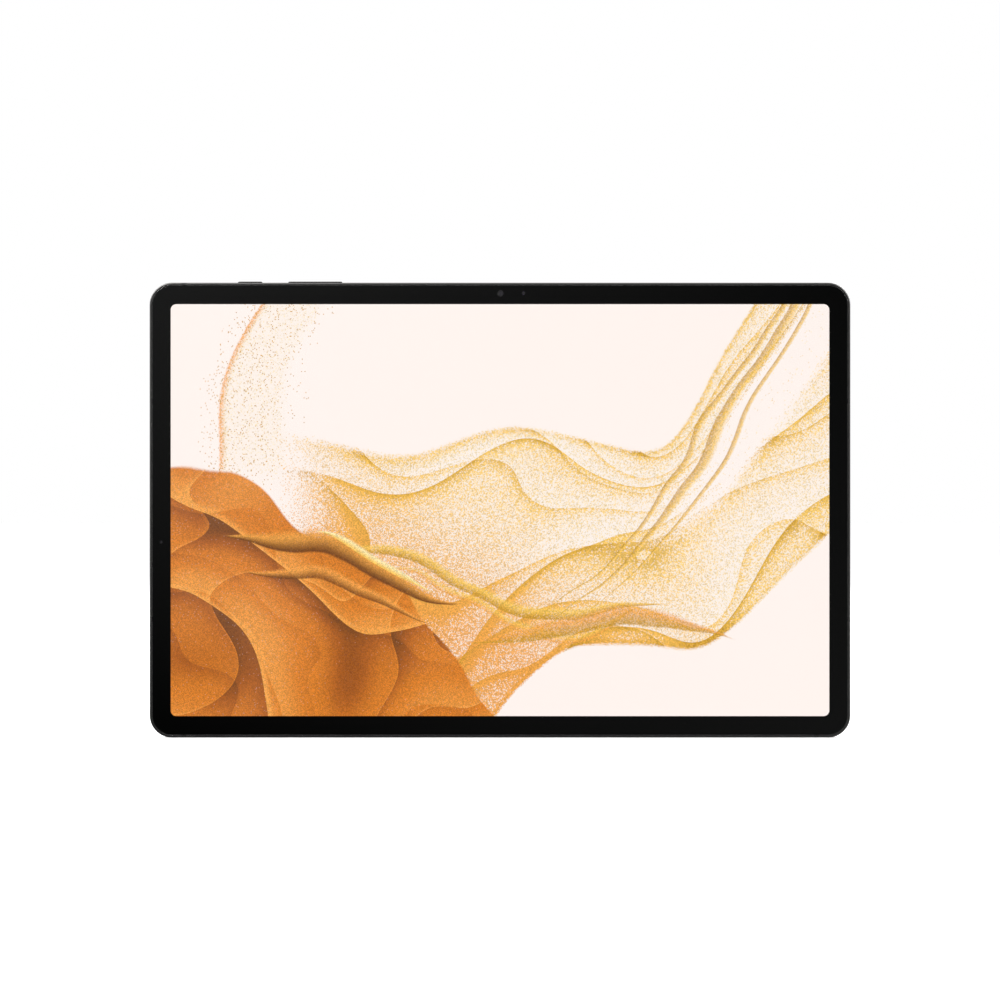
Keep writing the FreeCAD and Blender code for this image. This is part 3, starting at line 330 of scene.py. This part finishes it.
def ribbon(canvas, along, off, start, end, width, light, dark, strength):
    """A curling edge of cloth: thin, tapered at both ends, lit on one side and shaded on the other."""
    taper = along.step(start, start + 0.35 * (end - start)) * along.step(end, end - 0.35 * (end - start))
    ratio = off / (width * (0.05 + taper))
    inside = ratio.step(-1.0, -0.8) * ratio.step(1.0, 0.2) * taper.step(0.0, 0.1)
    colour = blend_colours(canvas.tree, ratio.step(-0.9, 0.5), dark, light)
    canvas.paint(colour, inside * strength, 0.75)


def picture(tree):
    """Grainy orange and gold cloth blown across a cream ground."""
    canvas = Canvas(tree)
    u, v = canvas.u, canvas.v
    strand(canvas)
    veil(canvas)
    sway = 0.12 * canvas.slow(1.4, 51.0) + 0.04 * canvas.slow(4.0, 55.0)
    crest = v + 0.16 + 0.30 * (u + 0.7).step(0.1, 0.9) + sway
    ribbon(canvas, u, crest, -0.95, 0.85, 0.035, GOLD, DEEP_GOLD, 0.85)
    hem = v + 0.40 + 0.16 * (3.4 * u + 0.4).math("SINE") + 1.6 * sway
    ribbon(canvas, u, hem, -0.6, 0.75, 0.03, GOLD, APRICOT, 0.7)
    lower = v + 0.60 - 0.10 * (3.0 * u).math("SINE") + sway
    ribbon(canvas, u, lower, -0.2, 1.15, 0.05, APRICOT, DEEP_GOLD, 0.8)
    climb = u - 0.74 - 0.30 * (v - 0.1).step(-0.3, 0.3) - 0.36 * (v - 0.7).step(-0.4, 0.4) + sway
    climb = climb + 1.1 * over_zero(-0.12 - v, 0.25)
    for apart, width in ((0.0, 0.03), (0.075, 0.018), (-0.09, 0.014)):
        ribbon(canvas, v, climb + apart * (1.0 + 7.0 * sway), -0.7, 1.9, width, GOLD, DEEP_GOLD, 0.75)
    sand(canvas)
    fringe = v + 0.13 + 0.30 * (u + 0.9).step(0.0, 0.7) + 0.7 * sway
    ribbon(canvas, u, fringe, -1.35, -0.15, 0.06, APRICOT, BROWN, 0.97)
    ribbon(canvas, u, fringe - 0.035, -0.9, -0.3, 0.022, STRAW, GOLD, 0.95)
    ribbon(canvas, u, fringe + 0.13 + 0.5 * sway, -1.25, -0.3, 0.035, ORANGE_LIGHT, BROWN, 0.8)
    return canvas.colour


def screen_material():
    """The lit display: a dark panel that gives off the picture."""
    material, tree, shader = new_material("lit_screen")
    shader.inputs["Base Color"].default_value = (0.01, 0.01, 0.01, 1)
    shader.inputs["Roughness"].default_value = 0.25
    feed(tree, shader.inputs["Emission Color"], picture(tree))
    shader.inputs["Emission Strength"].default_value = SCREEN_GLOW
    return material


# ---------------------------------------------------------------- materials

def grey(level, warmth=0.0):
    """A grey colour, a little redder and less blue where it is warm."""
    return level * (1 + warmth), level, level * (1 - warmth)


def vary(shader, tree, colour, spread, scale, roughness, roughness_spread, relief, relief_scale):
    """Give a surface a fine grain of colour, gloss and relief, over slow and very faint changes."""
    where = place(tree)
    slow = noise(tree, where, scale, 2.0)
    fine = noise(tree, where, relief_scale, 2.0)
    dark = [c * (1 - spread) for c in colour]
    light = [min(1.0, c * (1 + spread)) for c in colour]
    feed(tree, shader.inputs["Base Color"], blend_colours(tree, 0.3 * slow + 0.7 * fine, dark, light))
    gloss = slow.step(0.1, 0.9, roughness - roughness_spread, roughness + roughness_spread)
    feed(tree, shader.inputs["Roughness"], gloss + (fine - 0.5) * roughness_spread)
    feed(tree, shader.inputs["Normal"], bump(tree, fine, relief))


def metal(name, colour, roughness, relief=3e-6, relief_scale=9000.0, spread=0.04):
    """Bare, blasted or anodised metal."""
    material, tree, shader = new_material(name)
    shader.inputs["Metallic"].default_value = 1.0
    vary(shader, tree, colour, spread, 25.0, roughness, 0.015, relief, relief_scale)
    return material


def brushed(name, colour, roughness, along):
    """Rolled sheet metal with fine lines along one axis."""
    material, tree, shader = new_material(name)
    shader.inputs["Metallic"].default_value = 1.0
    x, y, z = parts_of(tree, place(tree))
    stretch = [0.02 if axis == along else 1.0 for axis in "xyz"]
    where = point(tree, x * stretch[0], y * stretch[1], z * stretch[2])
    lines = noise(tree, where, 9000.0, 3.0)
    dark = [c * 0.9 for c in colour]
    feed(tree, shader.inputs["Base Color"], blend_colours(tree, lines, dark, colour))
    feed(tree, shader.inputs["Roughness"], lines.step(0.2, 0.8, roughness - 0.06, roughness + 0.06))
    feed(tree, shader.inputs["Normal"], bump(tree, lines, 3e-6))
    return material


def plastic(name, colour, roughness, relief=6e-6, relief_scale=4000.0, spread=0.06):
    """Moulded or cast plastic, rubber and foam, with a fine moulded texture."""
    material, tree, shader = new_material(name)
    vary(shader, tree, colour, spread, 40.0, roughness, 0.03, relief, relief_scale)
    return material


def clear(name, tint, roughness=0.0, smear=0.02):
    """Polished glass with faint smears left by wiping."""
    material, tree, shader = new_material(name)
    shader.inputs["Transmission Weight"].default_value = 1.0
    shader.inputs["IOR"].default_value = 1.5
    smears = noise(tree, place(tree), 40.0, 3.0, distortion=0.6)
    feed(tree, shader.inputs["Roughness"], smears.step(0.45, 0.8, roughness, roughness + smear))
    lighter = [min(1.0, c * 1.01) for c in tint]
    feed(tree, shader.inputs["Base Color"], blend_colours(tree, smears, tint, lighter))
    return material


def coated_lens(name):
    """Lens glass with a painted sheen: its colour turns from purple face-on to green at a slant, standing in
    for the coloured reflections of its coating.
    """
    material, tree, shader = new_material(name)
    facing = tree.nodes.new("ShaderNodeLayerWeight")
    facing.inputs["Blend"].default_value = 0.35
    share = Value(tree, facing.outputs["Facing"])
    dust = noise(tree, place(tree), 900.0, 2.0)
    # painted sheen: the colour turns from purple where the lens faces the view to green where it turns away
    sheen = blend_colours(tree, share.step(0.1, 0.6), (0.015, 0.006, 0.03), (0.004, 0.016, 0.012))
    feed(tree, shader.inputs["Base Color"], sheen)
    feed(tree, shader.inputs["Roughness"], dust.step(0.4, 0.9, 0.02, 0.08))
    shader.inputs["Coat Weight"].default_value = 1.0
    return material


TRACKS = 2500.0           # a metre
TRACK_CELL = 1.6 * MM     # side of the squares whose tracks all run one way


def circuit_board():
    """Dark green solder resist over a pattern of copper tracks."""
    material, tree, shader = new_material("circuit_board")
    x, _, z = parts_of(tree, place(tree))
    cells = grain(tree, point(tree, x, 0.0, z), TRACK_CELL)
    across = (x * TRACKS).fold().step(0.45, 0.55)
    upward = (z * TRACKS).fold().step(0.45, 0.55)
    track = cells.below(0.5) * across + (1.0 - cells.below(0.5)) * upward
    colour = blend_colours(tree, track, (0.004, 0.03, 0.016), (0.012, 0.07, 0.036))
    feed(tree, shader.inputs["Base Color"], colour)
    feed(tree, shader.inputs["Roughness"], track.step(0.0, 1.0, 0.42, 0.3))
    feed(tree, shader.inputs["Normal"], bump(tree, track, 2e-5))
    return material


def battery_foil():
    """Crinkled dark laminate pouch."""
    material, tree, shader = new_material("battery_foil")
    crinkle = noise(tree, place(tree), 300.0, 4.0, distortion=0.8)
    colour = blend_colours(tree, crinkle, (0.018, 0.018, 0.02), (0.03, 0.03, 0.032))
    feed(tree, shader.inputs["Base Color"], colour)
    feed(tree, shader.inputs["Roughness"], crinkle.step(0.2, 0.8, 0.38, 0.55))
    feed(tree, shader.inputs["Normal"], bump(tree, crinkle, 6e-5))
    return material


WIRES = 5000.0            # a metre


def wires(coordinate):
    """Round wires side by side along one coordinate."""
    phase = (coordinate * WIRES).fold()
    return phase.step(0.15, 0.5) * (1.0 - phase.step(0.5, 0.85))


def woven_mesh():
    """Fine dark steel mesh: wires over and under in both directions, with painted shade: each wire darkens
    from its crown to its sides, and the gaps between the wires are painted near black.
    """
    material, tree, shader = new_material("mesh_steel")
    _, y, z = parts_of(tree, place(tree))
    wire = wires(y).larger(wires(z))
    shader.inputs["Metallic"].default_value = 0.8
    # painted shade: the colour follows the wire profile, so each wire darkens towards its sides and the gaps
    # between the wires are near black
    feed(tree, shader.inputs["Base Color"], blend_colours(tree, wire, grey(0.002), grey(0.09)))
    feed(tree, shader.inputs["Roughness"], wire.step(0.0, 1.0, 0.8, 0.4))
    feed(tree, shader.inputs["Normal"], bump(tree, wire, 4e-5))
    return material


def phosphor():
    """The yellow phosphor square of a white LED, unlit."""
    material, tree, shader = new_material("led_phosphor")
    dots = grain(tree, place(tree), 0.05 * MM)
    colour = blend_colours(tree, dots, (0.75, 0.6, 0.08), (0.9, 0.78, 0.2))
    feed(tree, shader.inputs["Base Color"], colour)
    feed(tree, shader.inputs["Roughness"], dots.step(0.0, 1.0, 0.55, 0.8))
    return material


COATED = coated_lens("coated_lens")
GRAPHITE_METAL = grey(0.133, 0.02)
GOLD_METAL = (0.86, 0.6, 0.22)
BLASTED = {"relief": 1e-6, "relief_scale": 3500.0}
STEEL = grey(0.55)

FINISHES = {
    "anodised_aluminium": metal("anodised_aluminium", GRAPHITE_METAL, 0.36, **BLASTED),
    "key_aluminium": metal("key_aluminium", grey(0.07, 0.02), 0.33, **BLASTED),
    "island_aluminium": metal("island_aluminium", grey(0.115, 0.02), 0.3, **BLASTED),
    "antenna_plastic": plastic("antenna_plastic", grey(0.028, 0.02), 0.5),
    "cover_glass": clear("cover_glass", grey(0.99), smear=0.03),
    "black_print": plastic("black_print", grey(0.0012), 0.6, relief=1e-6),
    "black_foam": plastic("black_foam", grey(0.012), 0.9, relief=3e-5, relief_scale=2500.0),
    "display": screen_material(),
    "flex_film": plastic("flex_film", (0.28, 0.12, 0.03), 0.35, relief=4e-6),
    "bare_aluminium": brushed("bare_aluminium", grey(0.72), 0.32, "x"),
    "graphite": metal("graphite", grey(0.07), 0.45, relief=8e-6, relief_scale=2000.0),
    "screw_steel": brushed("screw_steel", grey(0.5), 0.28, "y"),
    "battery_foil": battery_foil(),
    "white_tape": plastic("white_tape", grey(0.8), 0.55, spread=0.03),
    "circuit_board": circuit_board(),
    "chip_plastic": plastic("chip_plastic", grey(0.02), 0.5, relief_scale=6000.0),
    "sheet_steel": brushed("sheet_steel", STEEL, 0.3, "z"),
    "thermal_rubber": plastic("thermal_rubber", (0.3, 0.42, 0.55), 0.8),
    "connector_plastic": plastic("connector_plastic", grey(0.025), 0.5),
    "camera_plastic": plastic("camera_plastic", grey(0.008), 0.45),
    "polished_ring": metal("polished_ring", grey(0.16, 0.02), 0.2, relief=1e-6),
    "lens_glass": clear("lens_glass", grey(0.97), smear=0.02),
    "flash_plastic": clear("flash_plastic", (0.97, 0.94, 0.86), roughness=0.12, smear=0.1),
    "led_phosphor": phosphor(),
    "port_steel": brushed("port_steel", grey(0.5), 0.28, "x"),
    "gold_plate": metal("gold_plate", GOLD_METAL, 0.22, relief=1e-6),
    "seal_rubber": plastic("seal_rubber", grey(0.015), 0.75),
    "speaker_plastic": plastic("speaker_plastic", grey(0.03), 0.55),
    "mesh_steel": woven_mesh(),
    "coax_jacket": plastic("coax_jacket", grey(0.02), 0.4, relief=2e-6),
    "magnet_plate": metal("magnet_plate", grey(0.62), 0.25, relief=1e-6),
}


def finish_nodes():
    """Give every CAD node the finish that its slot in the record names."""
    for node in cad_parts.values():
        for slot in node.material_slots:
            slot.material = FINISHES[slot.material.name.split(".")[0]]


# ---------------------------------------------------------------- small pieces built in mesh code

def new_piece(name, mesh_builder, material):
    """Make a piece of the tablet from a bmesh that a function fills, in metres in the CAD's frame."""
    mesh = bpy.data.meshes.new(name)
    shape = bmesh.new()
    mesh_builder(shape)
    bmesh.ops.recalc_face_normals(shape, faces=shape.faces)
    shape.to_mesh(mesh)
    shape.free()
    mesh.shade_smooth()
    mesh.set_sharp_from_angle(angle=math.radians(35))
    piece = bpy.data.objects.new(name, mesh)
    bpy.context.scene.collection.objects.link(piece)
    mesh.materials.append(material)
    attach(piece, "tablet")


def turned(profile, centre, sides=48):
    """A builder for a closed form turned about the Y axis, from a loop of (radius, y) corners in metres."""
    def build(shape):
        rings = []
        for step in range(sides):
            angle = 2 * math.pi * step / sides
            across, up = math.cos(angle), math.sin(angle)
            rings.append([shape.verts.new((centre.x + radius * across, y, centre.z + radius * up))
                          for radius, y in profile])
        for here, following in zip(rings, rings[1:] + rings[:1]):
            for i in range(len(profile)):
                j = (i + 1) % len(profile)
                shape.faces.new((here[i], here[j], following[j], following[i]))
        bmesh.ops.remove_doubles(shape, verts=shape.verts, dist=1e-7)
        bmesh.ops.dissolve_degenerate(shape, edges=shape.edges, dist=1e-7)
    return build


def domed(radius, face, rise, thickness, steps=8):
    """The profile of a round lens: its middle stands out by the rise, its back is flat."""
    side = math.copysign(1.0, rise)
    crown = [(radius * i / steps, face + rise * (1 - (i / steps) ** 2)) for i in range(steps + 1)]
    return crown + [(radius, face - side * thickness), (0.0, face - side * thickness)]


def stepped(outer, inner, face, depth, steps):
    """The profile of a baffle ring: a stair of fine round steps that goes down towards its hole."""
    stairs = []
    for i in range(steps):
        stairs.append((outer - (outer - inner) * i / steps, face - depth * i / steps))
        stairs.append((outer - (outer - inner) * (i + 1) / steps, face - depth * i / steps))
    back = face - depth - 0.05 * MM
    return stairs + [(inner, back), (outer, back)]


def ridged(radius, face, height, ridges):
    """The profile of a round plate with concentric saw-tooth ridges, as on a flash lens."""
    teeth = [(0.0, face + height)]
    for i in range(1, ridges + 1):
        teeth.append((radius * i / ridges, face + 0.3 * height))
        if i < ridges:
            teeth.append((radius * (i + 0.15) / ridges, face + height))
    return teeth + [(radius, face), (0.0, face)]


def middle_of(low, high):
    """The middle of a box."""
    return (low + high) / 2


def front_sensors():
    """What shows through the clear holes of the black print: a camera and two sensors."""
    glass_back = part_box("cover_glass")[1].y
    camera = middle_of(*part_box("front_camera"))
    outer, collar, inner = 1.20, 0.98, 0.86
    section = [(outer, 0.005), (collar, 0.005), (inner, 0.16), (inner, 0.22),
               (collar, 0.22), (collar, 0.04), (outer, 0.04)]
    ring = [(radius * MM, glass_back + depth * MM) for radius, depth in section]
    new_piece("front_camera_ring", turned(ring, camera), FINISHES["polished_ring"])
    lens = domed(0.84 * MM, glass_back + 0.40 * MM, -0.22 * MM, 0.05 * MM)
    new_piece("front_camera_lens", turned(lens, camera), COATED)
    for node, radius in (("light_sensor", 0.70 * MM), ("side_sensor", 0.55 * MM)):
        window = domed(radius, glass_back + 0.03 * MM, -0.015 * MM, 0.015 * MM)
        new_piece(node + "_window", turned(window, middle_of(*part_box(node))), COATED)


def rear_optics():
    """The glass elements and baffle rings inside the two rear lenses, and the ridges of the flash."""
    for node in ("rear_camera_main", "rear_camera_wide"):
        low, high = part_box(node)
        centre = middle_of(low, high)
        baffle = stepped(3.1 * MM, 1.7 * MM, high.y + 0.34 * MM, 0.26 * MM, 5)
        new_piece(node + "_baffle", turned(baffle, centre), FINISHES["camera_plastic"])
        lens = domed(1.68 * MM, high.y - 0.2 * MM, 0.3 * MM, 0.1 * MM)
        new_piece(node + "_lens", turned(lens, centre), COATED)
    low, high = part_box("flash_lens")
    ridges = ridged(1.35 * MM, high.y, 0.06 * MM, 7)
    flash = turned(ridges, middle_of(low, high))
    new_piece("flash_ridges", flash, FINISHES["flash_plastic"])


# ---------------------------------------------------------------- studio

FLOOR_GLOW = 0.3          # keeps the far floor as white as the room
LIT_POINT = (0.0, 0.0, 0.09)
LIGHTS = (                # name, place, side in metres and watts
    ("key", (-0.9, -1.0, 1.5), 1.0, 22.0),
    ("fill", (1.3, -0.6, 1.0), 1.0, 10.0),
    ("back_left", (-1.1, 1.2, 1.1), 1.0, 24.0),
    ("back_right", (0.9, 1.3, 0.9), 0.9, 20.0),
)


def make_floor():
    """A wide pale floor under the object."""
    low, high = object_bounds()
    size = 40 * (high.x - low.x)
    mesh = bpy.data.meshes.new("floor")
    corners = [(-size, -size), (size, -size), (size, size), (-size, size)]
    mesh.from_pydata([(x, y, low.z) for x, y in corners], [], [(0, 1, 2, 3)])
    floor = bpy.data.objects.new("floor", mesh)
    bpy.context.scene.collection.objects.link(floor)
    material, tree, shader = new_material("pale_floor")
    dust = noise(tree, place(tree), 6.0, 3.0)
    feed(tree, shader.inputs["Base Color"], blend_colours(tree, dust, grey(0.88), grey(0.92)))
    feed(tree, shader.inputs["Roughness"], dust.step(0.2, 0.8, 0.7, 0.9))
    shader.inputs["Emission Color"].default_value = (1, 1, 1, 1)
    shader.inputs["Emission Strength"].default_value = FLOOR_GLOW
    mesh.materials.append(material)
    floor.visible_glossy = False
    floor.visible_transmission = False


def add_light(name, at, size, power):
    """A soft square light that the camera doesn't see, turned to the middle of the object."""
    data = bpy.data.lights.new(name, "AREA")
    data.shape = "SQUARE"
    data.size = size
    data.energy = power
    lamp = bpy.data.objects.new(name, data)
    lamp.location = at
    lamp.rotation_euler = (Vector(LIT_POINT) - Vector(at)).to_track_quat("-Z", "Y").to_euler()
    lamp.visible_camera = False
    bpy.context.scene.collection.objects.link(lamp)


def make_world():
    """White round the object; in reflections, a dim room that is brighter above and at the sides."""
    world = bpy.data.worlds.new("studio")
    bpy.context.scene.world = world
    world.use_nodes = True
    tree = world.node_tree
    tree.nodes.clear()
    x, _, z = parts_of(tree, tree.nodes.new("ShaderNodeTexCoord").outputs["Generated"])
    corners = 0.135 + 0.53 * z - 0.19 * x - 10.0 * x * z
    ahead = corners.smaller(0.32).larger(0.02)
    above = z.step(0.2, 0.75, 0.0, 0.6)
    beside = x.math("ABSOLUTE").step(0.25, 0.8, 0.0, 0.5) * z.step(-0.3, 0.15)
    room = ahead + above + beside
    dim = tree.nodes.new("ShaderNodeBackground")
    feed(tree, dim.inputs["Color"], point(tree, room, room, room))
    white = tree.nodes.new("ShaderNodeBackground")
    white.inputs["Color"].default_value = (1, 1, 1, 1)
    mix = tree.nodes.new("ShaderNodeMixShader")
    rays = tree.nodes.new("ShaderNodeLightPath")
    tree.links.new(rays.outputs["Is Camera Ray"], mix.inputs["Fac"])
    tree.links.new(dim.outputs[0], mix.inputs[1])
    tree.links.new(white.outputs[0], mix.inputs[2])
    output = tree.nodes.new("ShaderNodeOutputWorld")
    tree.links.new(mix.outputs[0], output.inputs["Surface"])


def make_camera():
    """A long lens straight in front of the glass, a little above its middle."""
    low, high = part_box("cover_glass")
    distance = 1.2
    seen_width = 0.4065   # at the glass
    rise = 0.00412
    data = bpy.data.cameras.new("camera")
    data.sensor_width = 36.0
    data.lens = data.sensor_width * distance / seen_width
    camera = bpy.data.objects.new("camera", data)
    camera.location = (0.0, low.y - distance, (low.z + high.z) / 2 + rise)
    camera.rotation_euler = (math.pi / 2, 0, 0)
    bpy.context.scene.collection.objects.link(camera)
    bpy.context.scene.camera = camera


finish_nodes()
front_sensors()
rear_optics()
make_floor()
make_world()
for light in LIGHTS:
    add_light(*light)
make_camera()
bpy.context.scene.view_settings.view_transform = "Standard"
